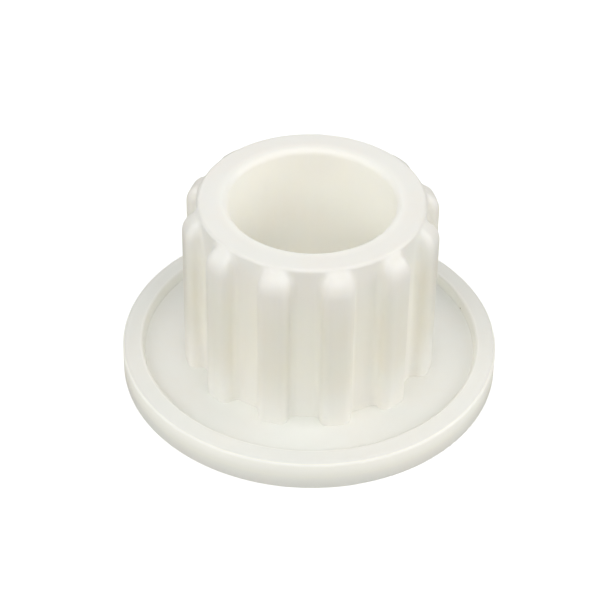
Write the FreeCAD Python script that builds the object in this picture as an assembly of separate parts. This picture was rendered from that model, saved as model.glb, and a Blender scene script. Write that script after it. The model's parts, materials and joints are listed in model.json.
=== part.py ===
import FreeCAD, Part
import math
import os

# A flanged drive gear: a hollow toothed sleeve, a dished flange keyed and staked to its foot, and a hexagonal
# socket bush pressed into the bottom of its bore. +Z runs along the gear's axis towards the open, toothed end.
# The origin is the centre of the flange's underside. Lengths are in millimetres and angles in degrees.

# Flange
flange_radius = 22.0
flange_web_thickness = 2.7
flange_rim_rise = 1.2
flange_rim_width = 2.6
rim_outer_slope = 0.1
rim_inner_slope = 0.3
rim_top_rounding = 0.45
rim_inner_rounding = 0.3
rim_bottom_rounding = 0.4

# Sleeve
sleeve_height = 23.9
bore_radius = 9.5
sleeve_wall = 3.5
bore_edge_rounding = 0.7
top_edge_rounding = 0.4

# Teeth
tooth_count = 12
tooth_height = 1.75
tooth_width = 3.6
tooth_dome_radius = 2.8
tooth_crest_rounding = 1.05
tooth_root_rounding = 0.8
tooth_end_drop = 0.2
tooth_arch_height = 2.6
tooth_arch_lift = 0.35

# Spigot that holds the flange to the sleeve
foot_ledge = 0.7
stake_flare = 0.6
underside_recess = 0.2
key_count = 4
key_width = 2.4
flange_key_reach = 1.4

# Hexagonal socket bush
insert_length = 7.6
insert_shoulder = 0.8
insert_key_reach = 0.7
insert_entry_chamfer = 0.5
socket_across_flats = 12.0
socket_entry_chamfer = 0.6
snap_bead_radius = 0.35

# Clearances
seat_clearance = 0.03
key_clearance = 0.05

# Levels and radii that follow from the sizes above
sleeve_foot = flange_web_thickness
flange_rim_height = flange_web_thickness + flange_rim_rise
root_radius = bore_radius + sleeve_wall
tip_radius = root_radius + tooth_height
spigot_radius = root_radius - foot_ledge
insert_radius = bore_radius + insert_shoulder
rim_inner_radius = flange_radius - flange_rim_width
insert_top = underside_recess + insert_length
counterbore_radius = insert_radius + seat_clearance
bead_height = underside_recess + insert_length / 2
pitch_angle = 360 / tooth_count
key_angle = 360 / key_count
socket_corner_radius = socket_across_flats / 2 / math.cos(math.radians(30))
axis_foot = FreeCAD.Vector(0, 0, 0)
axis_up = FreeCAD.Vector(0, 0, 1)


def rounded_face(corners):
    """Flat face in the XZ plane, whose outline turns each (x, z, radius) corner with that radius."""
    edges = []
    stretches = []
    for index, (x, z, radius) in enumerate(corners):
        here = FreeCAD.Vector(x, 0, z)
        before = corners[index - 1]
        after = corners[(index + 1) % len(corners)]
        back = (FreeCAD.Vector(before[0], 0, before[1]) - here).normalize()
        ahead = (FreeCAD.Vector(after[0], 0, after[1]) - here).normalize()
        half_angle = back.getAngle(ahead) / 2
        setback = radius / math.tan(half_angle)
        start = here + back * setback
        end = here + ahead * setback
        inward = (back + ahead).normalize()
        middle = here + inward * (radius / math.sin(half_angle) - radius)
        stretches.append((start, middle, end, radius))
    for index, (start, middle, end, radius) in enumerate(stretches):
        last_end = stretches[index - 1][2]
        if last_end.distanceToPoint(start) > 1e-6:
            edges.append(Part.LineSegment(last_end, start).toShape())
        if radius > 0:
            edges.append(Part.Arc(start, middle, end).toShape())
    return Part.Face(Part.Wire(edges))


def turned(corners):
    """Solid made by turning a rounded outline once round the gear's axis."""
    return rounded_face(corners).revolve(axis_foot, axis_up, 360)


def cylinder(radius, low, high):
    return Part.makeCylinder(radius, high - low, FreeCAD.Vector(0, 0, low), axis_up)


def cone(low_radius, high_radius, low, high):
    return Part.makeCone(low_radius, high_radius, high - low, FreeCAD.Vector(0, 0, low), axis_up)


def around(shape, count, step):
    """Copies of a shape, turned round the gear's axis in equal steps."""
    copies = []
    for index in range(count):
        copy = shape.copy()
        copy.rotate(axis_foot, axis_up, index * step)
        copies.append(copy)
    return copies


def radial_bar(width, reach, low, high):
    """Bar from the axis out to the given reach along +X."""
    return Part.makeBox(reach, width, high - low, FreeCAD.Vector(0, -width / 2, low))


def keys(width, reach, low, high):
    """Equally spaced radial bars that make keys, or cut the slots for them."""
    bars = around(radial_bar(width, reach, low, high), key_count, key_angle)
    return bars[0].fuse(bars[1:])


def hexagon(corner_radius, low, high):
    """Upright hexagonal prism on the axis, with two of its flats facing +Y and -Y."""
    points = []
    for index in range(6):
        angle = math.radians(60 * index)
        points.append(FreeCAD.Vector(corner_radius * math.cos(angle), corner_radius * math.sin(angle), low))
    face = Part.Face(Part.makePolygon(points + points[:1]))
    return face.extrude(FreeCAD.Vector(0, 0, high - low))


def arched_bar(width, low, spring, crown, start, reach):
    """Bar along +X whose front is an upright strip that ends in half an ellipse from spring level to crown."""
    centre = FreeCAD.Vector(start, 0, spring)
    crown_point = FreeCAD.Vector(start, 0, crown)
    left_spring = FreeCAD.Vector(start, -width / 2, spring)
    right_spring = FreeCAD.Vector(start, width / 2, spring)
    left_foot = FreeCAD.Vector(start, -width / 2, low)
    right_foot = FreeCAD.Vector(start, width / 2, low)
    if crown - spring > width / 2:
        cap = Part.ArcOfEllipse(Part.Ellipse(crown_point, right_spring, centre), -math.pi / 2, math.pi / 2)
    else:
        cap = Part.ArcOfEllipse(Part.Ellipse(right_spring, crown_point, centre), 0, math.pi)
    edges = [
        cap.toShape(),
        Part.LineSegment(left_spring, left_foot).toShape(),
        Part.LineSegment(left_foot, right_foot).toShape(),
        Part.LineSegment(right_foot, right_spring).toShape(),
    ]
    return Part.Face(Part.Wire(edges)).extrude(FreeCAD.Vector(reach, 0, 0))


def tooth():
    """One tooth on +X that reaches into the sleeve's wall: its upper end is arched across and domed outwards."""
    inner = (bore_radius + root_radius) / 2
    dome_top = sleeve_height - tooth_end_drop
    dome_centre_radius = tip_radius - tooth_dome_radius
    dome_centre_level = dome_top - tooth_dome_radius
    crown = dome_top + tooth_arch_lift
    blank = arched_bar(tooth_width, sleeve_foot, crown - tooth_arch_height, crown, inner, tip_radius)
    envelope = turned(
        [
            (0, sleeve_foot, 0),
            (tip_radius, sleeve_foot, 0),
            (tip_radius, dome_top, tooth_dome_radius),
            (0, dome_top, 0),
        ]
    )
    # The seam of the turned envelope faces away from the tooth, so it leaves no edge on the crest.
    envelope.rotate(axis_foot, axis_up, 180)
    body = blank.common(envelope).Solids[0]
    crest_edges = []
    for edge in body.Edges:
        middle = edge.valueAt((edge.FirstParameter + edge.LastParameter) / 2)
        radius = math.hypot(middle.x, middle.y)
        over_dome = max(0, middle.z - dome_centre_level)
        to_surface = math.hypot(radius - dome_centre_radius, over_dome) - tooth_dome_radius
        if abs(to_surface) < 1e-3 and abs(middle.y) > tooth_width / 8 and middle.z > sleeve_foot:
            crest_edges.append(edge)
    return body.makeFillet(tooth_crest_rounding, crest_edges)


def with_rounded_roots(ring):
    """The toothed ring with a small fillet where each flank rises from the wall."""
    roots = []
    for edge in ring.Edges:
        low = edge.valueAt(edge.FirstParameter)
        high = edge.valueAt(edge.LastParameter)
        upright = math.hypot(low.x - high.x, low.y - high.y) < 1e-4 and abs(low.z - high.z) > tooth_height
        if upright and abs(math.hypot(low.x, low.y) - root_radius) < 1e-3:
            roots.append(edge)
    return ring.makeFillet(tooth_root_rounding, roots)


def toothed_sleeve():
    wall = turned(
        [
            (bore_radius, underside_recess, 0),
            (spigot_radius, underside_recess, 0),
            (spigot_radius, sleeve_foot, 0),
            (root_radius, sleeve_foot, 0),
            (root_radius, sleeve_height, top_edge_rounding),
            (bore_radius, sleeve_height, bore_edge_rounding),
        ]
    )
    flare = cone(spigot_radius + stake_flare, spigot_radius, underside_recess, underside_recess + stake_flare)
    flange_keys = keys(key_width, spigot_radius + flange_key_reach, underside_recess, sleeve_foot)
    ring = wall.fuse(around(tooth(), tooth_count, pitch_angle)).removeSplitter()
    shape = with_rounded_roots(ring).fuse([flare, flange_keys])
    bore = cylinder(bore_radius, 0, sleeve_foot + insert_length)
    counterbore = cylinder(counterbore_radius, 0, insert_top)
    slots = keys(
        key_width + 2 * key_clearance, insert_radius + insert_key_reach + key_clearance, 0, insert_top
    )
    groove = Part.makeTorus(
        insert_radius, snap_bead_radius + seat_clearance, FreeCAD.Vector(0, 0, bead_height), axis_up
    )
    return shape.cut([bore, counterbore, slots, groove]).removeSplitter()


def dished_flange():
    plate = turned(
        [
            (0, 0, 0),
            (flange_radius, 0, rim_bottom_rounding),
            (flange_radius, flange_rim_height - rim_outer_slope, rim_top_rounding),
            (rim_inner_radius + rim_inner_slope, flange_rim_height, rim_inner_rounding),
            (rim_inner_radius, flange_web_thickness, 0),
            (0, flange_web_thickness, 0),
        ]
    )
    hole = cylinder(spigot_radius + seat_clearance, -1, flange_web_thickness + 1)
    countersink = cone(
        spigot_radius + stake_flare + underside_recess + seat_clearance,
        spigot_radius + seat_clearance,
        0,
        underside_recess + stake_flare,
    )
    notches = keys(
        key_width + 2 * key_clearance,
        spigot_radius + flange_key_reach + key_clearance,
        -1,
        flange_web_thickness + 1,
    )
    return plate.cut([hole, countersink, notches]).removeSplitter()


def drive_insert():
    bush = turned(
        [
            (0, underside_recess, 0),
            (insert_radius, underside_recess, insert_entry_chamfer),
            (insert_radius, insert_top, insert_entry_chamfer),
            (0, insert_top, 0),
        ]
    )
    bush_keys = keys(key_width, insert_radius + insert_key_reach, underside_recess, insert_top)
    bead = Part.makeTorus(insert_radius, snap_bead_radius, FreeCAD.Vector(0, 0, bead_height), axis_up)
    socket = hexagon(socket_corner_radius, 0, insert_top + 1)
    entry = cone(
        socket_corner_radius + socket_entry_chamfer,
        socket_corner_radius,
        underside_recess,
        underside_recess + socket_entry_chamfer,
    )
    return bush.fuse([bush_keys, bead]).cut([socket, entry]).removeSplitter()


parts = {
    "toothed_sleeve": toothed_sleeve(),
    "dished_flange": dished_flange(),
    "drive_insert": drive_insert(),
}
os.makedirs("parts", exist_ok=True)
for name, shape in parts.items():
    solid = shape.Solids[0] if len(shape.Solids) == 1 else shape
    print(name, "solids", len(shape.Solids), "valid", shape.isValid(), "volume", round(shape.Volume, 2))
    solid.exportStep("parts/" + name + ".step")
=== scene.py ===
import json
import math

import bpy
from mathutils import Matrix, Vector


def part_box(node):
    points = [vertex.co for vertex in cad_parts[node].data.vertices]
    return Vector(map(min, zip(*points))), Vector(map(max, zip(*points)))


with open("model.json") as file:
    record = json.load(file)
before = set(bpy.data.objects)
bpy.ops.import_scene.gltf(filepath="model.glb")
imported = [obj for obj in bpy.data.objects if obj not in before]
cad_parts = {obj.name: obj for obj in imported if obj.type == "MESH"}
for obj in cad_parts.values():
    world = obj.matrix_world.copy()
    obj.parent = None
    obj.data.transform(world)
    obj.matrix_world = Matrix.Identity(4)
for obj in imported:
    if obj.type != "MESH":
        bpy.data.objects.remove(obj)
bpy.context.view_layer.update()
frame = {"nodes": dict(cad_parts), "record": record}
scene = bpy.context.scene
mm = 0.001  # the scene is in metres, and small sizes below are easier to read in millimetres
white = (1, 1, 1, 1)

# the high corner of a round piece's box gives its largest radius, twice, and its top
flangeRadius, _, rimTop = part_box("dished_flange")[1]
tipRadius, _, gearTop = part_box("toothed_sleeve")[1]
bushKeyRadius, _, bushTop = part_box("drive_insert")[1]
mounts = {mount["name"]: mount for mount in frame["record"]["mounts"]}
boreRadius = mounts["shaft_bore"]["dims"]["r_mm"] * mm
print("frame loaded: flange radius", round(flangeRadius / mm, 2), "mm, height", round(gearTop / mm, 2), "mm")


def addNode(tree, kind, **settings):
    node = tree.nodes.new(kind)
    for name, value in settings.items():
        setattr(node, name, value)
    return node


def feed(tree, socket, value):  # links another node's socket, and sets any other value on the socket itself
    if isinstance(value, bpy.types.NodeSocket):
        tree.links.new(value, socket)
    else:
        socket.default_value = value


def mathNode(tree, operation, *values, clamp=False):
    node = addNode(tree, "ShaderNodeMath", operation=operation, use_clamp=clamp)
    for socket, value in zip(node.inputs, values):
        feed(tree, socket, value)
    return node.outputs[0]


def softStep(tree, value, low, high):  # 0 below low, 1 above high, eased between
    node = addNode(tree, "ShaderNodeMapRange", interpolation_type="SMOOTHSTEP")
    feed(tree, node.inputs["Value"], value)
    feed(tree, node.inputs["From Min"], low)
    feed(tree, node.inputs["From Max"], high)
    return node.outputs["Result"]


def mixColour(tree, share, first, second, blend="MIX"):
    node = addNode(tree, "ShaderNodeMix", data_type="RGBA", blend_type=blend)
    for index, value in ((0, share), (6, first), (7, second)):  # 6 and 7 are the Mix node's colour inputs
        feed(tree, node.inputs[index], value)
    return node.outputs[2]


def newGroup(name, inputs, outputs):
    tree = bpy.data.node_groups.new(name, "ShaderNodeTree")
    for socketName, kind, value in inputs:
        socket = tree.interface.new_socket(name=socketName, in_out="INPUT", socket_type=kind)
        socket.default_value = value
    for socketName, kind in outputs:
        tree.interface.new_socket(name=socketName, in_out="OUTPUT", socket_type=kind)
    return tree, tree.nodes.new("NodeGroupInput").outputs, tree.nodes.new("NodeGroupOutput").inputs


def useGroup(tree, group, values):
    node = addNode(tree, "ShaderNodeGroup", node_tree=group)
    for name, value in values.items():
        feed(tree, node.inputs[name], value)
    return node.outputs


def objectPoint(tree, size, stretch=(1, 1, 1)):  # the surface point in units of size, each axis stretched
    coordinates = addNode(tree, "ShaderNodeTexCoord")
    unit = addNode(tree, "ShaderNodeVectorMath", operation="SCALE")
    unit.inputs[0].default_value = stretch
    feed(tree, unit.inputs["Scale"], size)
    point = addNode(tree, "ShaderNodeVectorMath", operation="DIVIDE")
    feed(tree, point.inputs[0], coordinates.outputs["Object"])
    feed(tree, point.inputs[1], unit.outputs[0])
    return point.outputs[0]


def noise(tree, point, roughness, detail=2.0):
    node = addNode(tree, "ShaderNodeTexNoise")
    feed(tree, node.inputs["Vector"], point)
    node.inputs["Scale"].default_value = 1.0
    node.inputs["Detail"].default_value = detail
    node.inputs["Roughness"].default_value = roughness
    return node.outputs["Fac"]


def makeCloudGroup():
    # milky unevenness inside translucent nylon: two tones drift into each other, with streaks up the axis
    toneTurn = (0.38, 0.62)  # the stretch of noise over which the cool tone gives way to the warm one
    streakTurn = (0.35, 0.7)
    streakStretch = (1, 1, 9)
    streakShare = 0.4  # how much of both tones a streak hides
    tree, given, result = newGroup(
        "milkyClouding",
        [
            ("Plastic", "NodeSocketColor", (0.8, 0.8, 0.8, 1)),
            ("Warm Drift", "NodeSocketColor", white),
            ("Cool Drift", "NodeSocketColor", white),
            ("Cloud Size", "NodeSocketFloat", 6 * mm),
            ("Streak Size", "NodeSocketFloat", 1 * mm),
            ("Strength", "NodeSocketFloat", 0.5),
        ],
        [("Colour", "NodeSocketColor")],
    )
    clouds = noise(tree, objectPoint(tree, given["Cloud Size"]), roughness=0.45)
    streaks = noise(tree, objectPoint(tree, given["Streak Size"], streakStretch), roughness=0.5)
    warmth = softStep(tree, clouds, *toneTurn)
    tones = mixColour(tree, warmth, given["Cool Drift"], given["Warm Drift"])
    veil = mathNode(tree, "MULTIPLY", softStep(tree, streaks, *streakTurn), streakShare)
    drift = mixColour(tree, veil, tones, white)
    full = mixColour(tree, 1.0, given["Plastic"], drift, blend="MULTIPLY")
    feed(tree, result["Colour"], mixColour(tree, given["Strength"], given["Plastic"], full))
    return tree


def makeSkinGroup():
    # the skin a polished mould leaves: a fine grain, slow sink ripples and faint lines in the draw direction
    drawSize = 0.22 * mm
    drawStretch = (1, 1, 40)
    patchTurn = (0.35, 0.65)
    patchShare = 0.7  # the gloss drifts mostly with the ripples, and a little with the draw lines
    drawShare = 0.3
    tree, given, result = newGroup(
        "mouldedSkin",
        [
            ("Grain Size", "NodeSocketFloat", 0.14 * mm),
            ("Grain Depth", "NodeSocketFloat", 0.35),
            ("Ripple Size", "NodeSocketFloat", 2.5 * mm),
            ("Ripple Depth", "NodeSocketFloat", 1.0),
            ("Draw Depth", "NodeSocketFloat", 0.4),
        ],
        [("Height", "NodeSocketFloat"), ("Gloss Drift", "NodeSocketFloat")],
    )
    grain = noise(tree, objectPoint(tree, given["Grain Size"]), roughness=0.6)
    ripple = noise(tree, objectPoint(tree, given["Ripple Size"]), roughness=0.4)
    draw = noise(tree, objectPoint(tree, drawSize, drawStretch), roughness=0.5)
    height = mathNode(tree, "MULTIPLY", grain, given["Grain Depth"])
    height = mathNode(tree, "ADD", height, mathNode(tree, "MULTIPLY", ripple, given["Ripple Depth"]))
    height = mathNode(tree, "ADD", height, mathNode(tree, "MULTIPLY", draw, given["Draw Depth"]))
    feed(tree, result["Height"], height)
    patches = mathNode(tree, "MULTIPLY", softStep(tree, ripple, *patchTurn), patchShare)
    lines = mathNode(tree, "MULTIPLY", draw, drawShare)
    feed(tree, result["Gloss Drift"], mathNode(tree, "ADD", patches, lines))
    return tree


def makeEdgeGroup():
    # a mask on the edges, used for gloss rubbed smooth there and for a painted highlight along them: found
    # by comparing the true normal with one rounded over a small radius
    bendTurn = (0.004, 0.16)  # how far the two normals part, from no wear to full wear
    patchSize = 1.1 * mm
    patchTurn = (0.3, 0.7)
    tree, given, result = newGroup(
        "edgeWearAndPaintedHighlight",
        [("Reach", "NodeSocketFloat", 0.5 * mm), ("Unevenness", "NodeSocketFloat", 0.5)],
        [("Mask", "NodeSocketFloat")],
    )
    rounded = addNode(tree, "ShaderNodeBevel", samples=6)
    feed(tree, rounded.inputs["Radius"], given["Reach"])
    geometry = addNode(tree, "ShaderNodeNewGeometry")
    dot = addNode(tree, "ShaderNodeVectorMath", operation="DOT_PRODUCT")
    feed(tree, dot.inputs[0], rounded.outputs["Normal"])
    feed(tree, dot.inputs[1], geometry.outputs["Normal"])
    bend = mathNode(tree, "SUBTRACT", 1.0, dot.outputs["Value"], clamp=True)
    edge = softStep(tree, bend, *bendTurn)
    patches = noise(tree, objectPoint(tree, patchSize), roughness=0.6, detail=3.0)
    patchy = softStep(tree, patches, *patchTurn)
    keep = mathNode(tree, "SUBTRACT", 1.0, mathNode(tree, "MULTIPLY", patchy, given["Unevenness"]))
    feed(tree, result["Mask"], mathNode(tree, "MULTIPLY", edge, keep, clamp=True))
    return tree


def makeScuffGroup():
    # short fine rubs, in two crossing directions
    fullScuff = 0.8  # the noise at which a scuff is complete
    faintScuff = 0.74  # the noise at which one starts to show, when the amount is 0
    amountReach = 0.12  # how far an amount of 1 lowers that
    directions = ((1, 14, 3), (12, 1, 5))
    tree, given, result = newGroup(
        "handlingScuffs",
        [("Scuff Size", "NodeSocketFloat", 0.5 * mm), ("Amount", "NodeSocketFloat", 0.3)],
        [("Mask", "NodeSocketFloat")],
    )
    start = mathNode(tree, "SUBTRACT", faintScuff, mathNode(tree, "MULTIPLY", given["Amount"], amountReach))
    masks = []
    for stretch in directions:
        rubs = noise(tree, objectPoint(tree, given["Scuff Size"], stretch), roughness=0.55)
        masks.append(softStep(tree, rubs, start, fullScuff))
    feed(tree, result["Mask"], mathNode(tree, "MAXIMUM", *masks))
    return tree


def makeSpeckGroup():
    # a few tiny dark inclusions in the plastic
    speckRadius = 0.045  # as a share of the spacing
    tree, given, result = newGroup(
        "darkSpecks",
        [("Spacing", "NodeSocketFloat", 3 * mm), ("Share", "NodeSocketFloat", 0.1)],
        [("Mask", "NodeSocketFloat")],
    )
    cells = addNode(tree, "ShaderNodeTexVoronoi", feature="F1")
    feed(tree, cells.inputs["Vector"], objectPoint(tree, given["Spacing"]))
    cells.inputs["Scale"].default_value = 1.0
    near = mathNode(tree, "LESS_THAN", cells.outputs["Distance"], speckRadius)
    parts = addNode(tree, "ShaderNodeSeparateColor")
    feed(tree, parts.inputs[0], cells.outputs["Color"])
    chosen = mathNode(tree, "LESS_THAN", parts.outputs[0], given["Share"])  # only some cells hold a speck
    feed(tree, result["Mask"], mathNode(tree, "MULTIPLY", near, chosen))
    return tree


def makeZoneGroup():
    # a soft-edged zone round the gear's axis, between two radii and two heights
    farAway = 1.0  # in metres, so that a side which isn't given has no limit
    tree, given, result = newGroup(
        "axisZone",
        [
            ("Inner Radius", "NodeSocketFloat", -farAway),
            ("Outer Radius", "NodeSocketFloat", farAway),
            ("Radius Fade", "NodeSocketFloat", 0.2 * mm),
            ("Low", "NodeSocketFloat", -farAway),
            ("High", "NodeSocketFloat", farAway),
            ("Height Fade", "NodeSocketFloat", 3 * mm),
        ],
        [("Mask", "NodeSocketFloat")],
    )
    coordinates = addNode(tree, "ShaderNodeTexCoord")
    parts = addNode(tree, "ShaderNodeSeparateXYZ")
    feed(tree, parts.inputs[0], coordinates.outputs["Object"])
    square = [mathNode(tree, "MULTIPLY", parts.outputs[axis], parts.outputs[axis]) for axis in (0, 1)]
    radius = mathNode(tree, "SQRT", mathNode(tree, "ADD", *square))
    mask = 1.0
    for place, low, high, fade in (
        (radius, "Inner Radius", "Outer Radius", "Radius Fade"),
        (parts.outputs[2], "Low", "High", "Height Fade"),
    ):
        lowEnd = mathNode(tree, "ADD", given[low], given[fade])
        highStart = mathNode(tree, "SUBTRACT", given[high], given[fade])
        past = softStep(tree, place, given[low], lowEnd)
        short = mathNode(tree, "SUBTRACT", 1.0, softStep(tree, place, highStart, given[high]))
        mask = mathNode(tree, "MULTIPLY", mathNode(tree, "MULTIPLY", past, short), mask)
    feed(tree, result["Mask"], mask)
    return tree


effects = {
    "clouding": makeCloudGroup(),
    "skin": makeSkinGroup(),
    "edges": makeEdgeGroup(),
    "scuffs": makeScuffGroup(),
    "specks": makeSpeckGroup(),
    "zone": makeZoneGroup(),
}
print("effects made:", ", ".join(effects))


# painted shade comes in as colour tints by zone, and painted glow as emission by zone
def makePlastic(name, look, paintedShades=(), paintedGlows=()):  # tints and glows are pairs of a zone and a colour
    material = bpy.data.materials.new(name)
    material.use_nodes = True
    tree = material.node_tree
    shader = tree.nodes["Principled BSDF"]

    clouded = useGroup(tree, effects["clouding"], {
        "Plastic": (*look["plastic"], 1),
        "Warm Drift": (*look["warmDrift"], 1),
        "Cool Drift": (*look["coolDrift"], 1),
        "Cloud Size": look["cloudSize"],
        "Streak Size": look["streakSize"],
        "Strength": look["clouding"],
    })["Colour"]
    edges = useGroup(tree, effects["edges"], {
        "Reach": look["edgeReach"],
        "Unevenness": look["edgeUnevenness"],
    })["Mask"]
    scuffs = useGroup(tree, effects["scuffs"], {
        "Scuff Size": look["scuffSize"],
        "Amount": look["scuffing"],
    })["Mask"]
    specks = useGroup(tree, effects["specks"], {
        "Spacing": look["speckSpacing"],
        "Share": look["speckShare"],
    })["Mask"]
    skin = useGroup(tree, effects["skin"], {
        "Grain Size": look["grainSize"],
        "Grain Depth": look["grainDepth"],
        "Ripple Size": look["rippleSize"],
        "Ripple Depth": look["rippleDepth"],
        "Draw Depth": look["drawDepth"],
    })

    colour = clouded
    # the edge mask lightens the colour as a painted highlight along the edges; the scuffs' lightening and
    # the specks are wear and inclusions
    for mask, share, paint in (
        (edges, look["edgePaintedHighlight"], look["edgeHighlightAndScuffColour"]),
        (scuffs, look["scuffBrightness"], look["edgeHighlightAndScuffColour"]),
        (specks, look["speckDarkness"], look["speckColour"]),
    ):
        colour = mixColour(tree, mathNode(tree, "MULTIPLY", mask, share), colour, (*paint, 1))
    # painted shade: each tint darkens or warms the colour inside its zone
    for zone, tint in paintedShades:
        mask = useGroup(tree, effects["zone"], zone)["Mask"]
        tinted = mixColour(tree, 1.0, colour, (*tint, 1), blend="MULTIPLY")
        colour = mixColour(tree, mask, colour, tinted)
    feed(tree, shader.inputs["Base Color"], colour)

    # painted glow: a faint emission by zone stands in for light that would soak through the plastic from the
    # far side
    glow = (0, 0, 0, 1)
    for zone, glowColour in paintedGlows:
        mask = useGroup(tree, effects["zone"], zone)["Mask"]
        glow = mixColour(tree, mask, glow, (*glowColour, 1))
    if paintedGlows:
        feed(tree, shader.inputs["Emission Color"], glow)
        shader.inputs["Emission Strength"].default_value = 1.0

    aboveMiddle = mathNode(tree, "SUBTRACT", skin["Gloss Drift"], 0.5)  # the drift runs from 0 to 1
    drift = mathNode(tree, "MULTIPLY", aboveMiddle, look["glossDrift"])
    polish = mathNode(tree, "MULTIPLY", edges, look["edgePolish"])
    dulling = mathNode(tree, "MULTIPLY", scuffs, look["scuffDulling"])
    roughness = mathNode(tree, "SUBTRACT", mathNode(tree, "ADD", drift, look["roughness"]), polish)
    feed(tree, shader.inputs["Roughness"], mathNode(tree, "ADD", roughness, dulling, clamp=True))

    grooves = mathNode(tree, "MULTIPLY", scuffs, look["scuffDepth"])
    bump = addNode(tree, "ShaderNodeBump")
    bump.inputs["Strength"].default_value = 1.0
    bump.inputs["Distance"].default_value = look["bumpHeight"]
    feed(tree, bump.inputs["Height"], mathNode(tree, "SUBTRACT", skin["Height"], grooves))
    feed(tree, shader.inputs["Normal"], bump.outputs["Normal"])

    shader.inputs["IOR"].default_value = look["ior"]
    shader.inputs["Subsurface Weight"].default_value = look["milkiness"]
    shader.inputs["Subsurface Radius"].default_value = look["lightReach"]
    shader.inputs["Subsurface Scale"].default_value = look["lightReachScale"]
    return material


def dress(node, material):
    piece = frame["nodes"][node]
    piece.data.materials.clear()
    piece.data.materials.append(material)


# what the pieces' plastics share: a clouded, satin moulding with a few specks
mouldedPlastic = {
    "warmDrift": (1.0, 0.985, 0.965),
    "coolDrift": (0.99, 1.0, 0.99),
    "clouding": 0.8,
    "cloudSize": 5.5 * mm,
    "streakSize": 0.9 * mm,
    "edgeReach": 0.45 * mm,
    "edgeUnevenness": 0.5,
    # painted highlight along the edges, while edgePolish below is real rubbing in the gloss
    "edgePaintedHighlight": 0.45,
    "edgePolish": 0.06,
    "scuffSize": 0.35 * mm,
    "scuffing": 0.35,
    "scuffBrightness": 0.18,
    "scuffDulling": 0.12,
    "scuffDepth": 0.25,
    "speckColour": (0.33, 0.3, 0.25),
    "speckDarkness": 0.75,
    "speckSpacing": 2.4 * mm,
    "speckShare": 0.035,
    "grainSize": 0.13 * mm,
    "grainDepth": 0.22,
    "rippleSize": 2.6 * mm,
    "rippleDepth": 3.0,
    "drawDepth": 0.4,
    "roughness": 0.42,
    "glossDrift": 0.1,
    "bumpHeight": 0.012 * mm,
    "ior": 1.53,
    "milkiness": 0.12,
    "lightReach": (1.0, 0.9, 0.62),
    "lightReachScale": 6.0 * mm,
}

# natural nylon of the toothed sleeve: milky and satin, with painted shade that warms its long walls and
# darkens its teeth at mid height, and painted glow in its valleys and bore
sleevePlastic = {
    **mouldedPlastic,
    "plastic": (0.97, 0.953, 0.893),
    "edgeHighlightAndScuffColour": (0.98, 0.965, 0.91),
    # painted shade: the walls warmer, and the teeth darker, at mid height
    "bellyPaintedWarmShade": (1.0, 0.994, 0.965),
    "bellyTopGap": 1 * mm,
    "bellyFade": 7 * mm,
    "toothPaintedShade": (0.975, 0.972, 0.95),
    "toothDepth": 1.4 * mm,  # the teeth's zone starts this far inside their tips
    "toothFade": 0.8 * mm,
    # painted glow in the valleys, the bore and the bore's mouth
    "valleyPaintedGlow": (0.035, 0.035, 0.028),
    "valleyDepth": 1.1 * mm,  # and the valleys' zone ends this far inside them
    "valleyFade": 0.5 * mm,
    "valleyEndFade": 5 * mm,
    "borePaintedGlow": (0.035, 0.034, 0.029),
    "boreSkin": 1.6 * mm,  # how far into the wall the bore's two zones reach
    "boreFade": 1.5 * mm,
    "bushOverlap": 2 * mm,
    "mouthPaintedGlow": (0.06, 0.059, 0.05),
    "mouthDepth": 11 * mm,
    "mouthFade": 8 * mm,
}


def sleeveZones(look):
    belly = {
        "Inner Radius": bushKeyRadius,
        "Low": rimTop,
        "High": gearTop - look["bellyTopGap"],
        "Height Fade": look["bellyFade"],
    }
    teeth = {**belly, "Inner Radius": tipRadius - look["toothDepth"], "Radius Fade": look["toothFade"]}
    valleys = {
        **belly,
        "Outer Radius": tipRadius - look["valleyDepth"],
        "Radius Fade": look["valleyFade"],
        "Height Fade": look["valleyEndFade"],
    }
    bore = {
        "Outer Radius": boreRadius + look["boreSkin"],
        "Radius Fade": look["boreFade"],
        "Low": bushTop - look["bushOverlap"],
    }
    mouth = {**bore, "Low": gearTop - look["mouthDepth"], "Height Fade": look["mouthFade"]}
    # the tints are painted shade and the glows painted light
    paintedShades = [(belly, look["bellyPaintedWarmShade"]), (teeth, look["toothPaintedShade"])]
    paintedGlows = [(valleys, look["valleyPaintedGlow"]), (bore, look["borePaintedGlow"]), (mouth, look["mouthPaintedGlow"])]
    return paintedShades, paintedGlows


sleeveNylon = makePlastic("sleeveNylon", sleevePlastic, *sleeveZones(sleevePlastic))
dress("toothed_sleeve", sleeveNylon)
print("toothed sleeve dressed")

# the flange is thinner and reads cooler; a painted shade darkens and cools its web, and a painted glow
# lights the side and inner face of its rim
flangePlastic = {
    **mouldedPlastic,
    "plastic": (0.92, 0.918, 0.87),
    "edgeHighlightAndScuffColour": (0.93, 0.925, 0.89),
    "drawDepth": 0.1,
    "cloudSize": 8 * mm,
    "lightReach": (1.0, 0.97, 0.85),
    # painted shade: the web darker and cooler
    "webPaintedShade": (0.965, 0.97, 0.975),
    "webInset": 2.4 * mm,
    "webFade": 0.4 * mm,
    # painted glow on the rim's outer side and inner face
    "rimSidePaintedGlow": (0.2, 0.196, 0.16),
    "rimSkin": 0.22 * mm,  # thin enough to keep the side's glow off the rim's top
    "rimSideFoot": 0.3 * mm,
    "rimSideFade": 3.6 * mm,
    "rimInsidePaintedGlow": (0.05, 0.05, 0.045),
    "rimInnerInset": 2.9 * mm,  # the rim's inner face lies between these two, in from the flange's edge
    "rimOuterInset": 1.9 * mm,
    "rimInsideFoot": 2.6 * mm,
    "rimInsideFade": 0.5 * mm,
}


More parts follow.
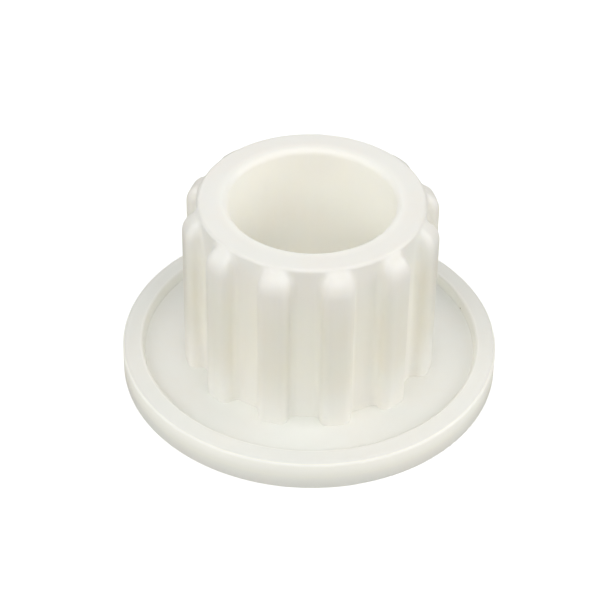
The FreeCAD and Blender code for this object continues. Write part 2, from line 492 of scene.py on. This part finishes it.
def flangeZones(look):
    web = {"Outer Radius": flangeRadius - look["webInset"], "Radius Fade": look["webFade"]}
    rimSide = {
        "Inner Radius": flangeRadius - look["rimSkin"],
        "Low": look["rimSideFoot"],
        "Height Fade": look["rimSideFade"],
    }
    rimInside = {
        "Inner Radius": flangeRadius - look["rimInnerInset"],
        "Outer Radius": flangeRadius - look["rimOuterInset"],
        "Low": look["rimInsideFoot"],
        "Height Fade": look["rimInsideFade"],
    }
    # the tint is painted shade and the glows painted light
    paintedShades = [(web, look["webPaintedShade"])]
    paintedGlows = [(rimSide, look["rimSidePaintedGlow"]), (rimInside, look["rimInsidePaintedGlow"])]
    return paintedShades, paintedGlows


flangeNylon = makePlastic("flangeNylon", flangePlastic, *flangeZones(flangePlastic))
dress("dished_flange", flangeNylon)
print("dished flange dressed")

# the socket bush is a denser, duller moulding
bushPlastic = {
    **mouldedPlastic,
    "plastic": (0.9, 0.9, 0.86),
    "edgeHighlightAndScuffColour": (0.94, 0.94, 0.9),
    "roughness": 0.5,
    "grainDepth": 0.4,
    "scuffing": 0.6,
}
bushAcetal = makePlastic("bushAcetal", bushPlastic)
dress("drive_insert", bushAcetal)
print("socket bush dressed")


def awayFromAxis(azimuth, elevation):  # a unit vector out from the gear, turned in degrees from the -Y side
    turn = math.radians(azimuth)
    rise = math.radians(elevation)
    return Vector((
        math.sin(turn) * math.cos(rise),
        -math.cos(turn) * math.cos(rise),
        math.sin(rise),
    ))


cameraPlace = {
    "azimuth": -13.19,  # degrees, turned round the gear's axis from the -Y side
    "elevation": 38.98,
    "distance": 241.8 * mm,
    "standHeight": 11 * mm,  # the point on the axis that the distance is measured from
    "aimRight": -1.16 * mm,
    "aimUp": -1.38 * mm,
    "roll": 0.9,
    "lens": 124.9,
    "sensorWidth": 36,
    "nearLimit": 10 * mm,
    "farLimit": 10,
}


def makeCamera(place):
    azimuth = math.radians(place["azimuth"])
    right = Vector((math.cos(azimuth), math.sin(azimuth), 0))
    back = awayFromAxis(place["azimuth"], place["elevation"])
    up = back.cross(right)
    pivot = Vector((0, 0, place["standHeight"]))
    eye = pivot + back * place["distance"]
    aim = pivot + right * place["aimRight"] + up * place["aimUp"]
    data = bpy.data.cameras.new("camera")
    data.lens = place["lens"]
    data.sensor_width = place["sensorWidth"]
    data.clip_start = place["nearLimit"]
    data.clip_end = place["farLimit"]
    camera = bpy.data.objects.new("camera", data)
    scene.collection.objects.link(camera)
    turn = (aim - eye).to_track_quat("-Z", "Y").to_matrix().to_4x4()
    roll = Matrix.Rotation(math.radians(place["roll"]), 4, "Z")
    camera.matrix_world = Matrix.Translation(eye) @ turn @ roll
    return camera


scene.camera = makeCamera(cameraPlace)
print("camera set")


studio = {
    "floorSize": 3.0,
    "floorGap": 0.02 * mm,  # keeps the floor and the flange's underside from sharing a plane
    "floorColour": (0.5, 0.49, 0.46),
    "floorRoughness": 0.9,
    "floorGloss": 0.1,
    "floorLift": 0.75,  # added only where the camera looks at the floor, so it stays near white
    "skyStrength": 0.03,
    "boxDistance": 0.9,
    "boxSize": 0.62,
    # each softbox: turn from the camera's side, elevation, brightness
    "softboxes": {
        "frontSoftbox": (0, 50, 2.6),
        "frontLeftSoftbox": (-45, 40, 2.2),
        "frontRightSoftbox": (45, 40, 1.6),
        "leftSoftbox": (-90, 25, 2.2),
        "rightSoftbox": (90, 25, 3.2),
        "backPanel": (180, 12, 1.2),
        "backSoftbox": (180, 60, 1.4),
        "underLamp": (0, -85, 1.6),
    },
}


def makeFloor(values):
    half = values["floorSize"] / 2
    level = -values["floorGap"]
    corners = [(-half, -half, level), (half, -half, level), (half, half, level), (-half, half, level)]
    mesh = bpy.data.meshes.new("floor")
    mesh.from_pydata(corners, [], [(0, 1, 2, 3)])
    floor = bpy.data.objects.new("floor", mesh)
    scene.collection.objects.link(floor)
    material = bpy.data.materials.new("paleFloor")
    material.use_nodes = True
    tree = material.node_tree
    shader = tree.nodes["Principled BSDF"]
    shader.inputs["Base Color"].default_value = (*values["floorColour"], 1)
    shader.inputs["Roughness"].default_value = values["floorRoughness"]
    shader.inputs["Specular IOR Level"].default_value = values["floorGloss"]
    shader.inputs["Emission Color"].default_value = white
    path = addNode(tree, "ShaderNodeLightPath")
    lift = mathNode(tree, "MULTIPLY", path.outputs["Is Camera Ray"], values["floorLift"])
    feed(tree, shader.inputs["Emission Strength"], lift)
    # from below the floor is clear, and it lets the lamp under it through, so the underside can be looked at
    side = addNode(tree, "ShaderNodeNewGeometry")
    clear = mathNode(tree, "MAXIMUM", side.outputs["Backfacing"], path.outputs["Is Shadow Ray"])
    feed(tree, shader.inputs["Alpha"], mathNode(tree, "SUBTRACT", 1.0, clear))
    mesh.materials.append(material)


def makeSky(values):
    world = bpy.data.worlds.new("studioSky")
    scene.world = world
    world.use_nodes = True
    tree = world.node_tree
    background = tree.nodes["Background"]
    background.inputs["Color"].default_value = white
    # white to look at, but faint as a light
    path = addNode(tree, "ShaderNodeLightPath")
    strength = mathNode(tree, "MAXIMUM", path.outputs["Is Camera Ray"], values["skyStrength"])
    feed(tree, background.inputs["Strength"], strength)


def makeSoftbox(name, turn, elevation, brightness, values):
    outward = awayFromAxis(cameraPlace["azimuth"] + turn, elevation)
    diskArea = math.pi * (values["boxSize"] / 2) ** 2
    data = bpy.data.lights.new(name, "AREA")
    data.shape = "DISK"
    data.size = values["boxSize"]
    data.energy = brightness * math.pi * diskArea  # a larger disk gets more power and looks as bright
    light = bpy.data.objects.new(name, data)
    scene.collection.objects.link(light)
    light.location = outward * values["boxDistance"]
    light.rotation_mode = "QUATERNION"
    light.rotation_quaternion = (-outward).to_track_quat("-Z", "Y")


makeFloor(studio)
makeSky(studio)
for boxName, (turn, elevation, brightness) in studio["softboxes"].items():
    makeSoftbox(boxName, turn, elevation, brightness, studio)
scene.view_settings.view_transform = "Standard"
print("floor and lights made")
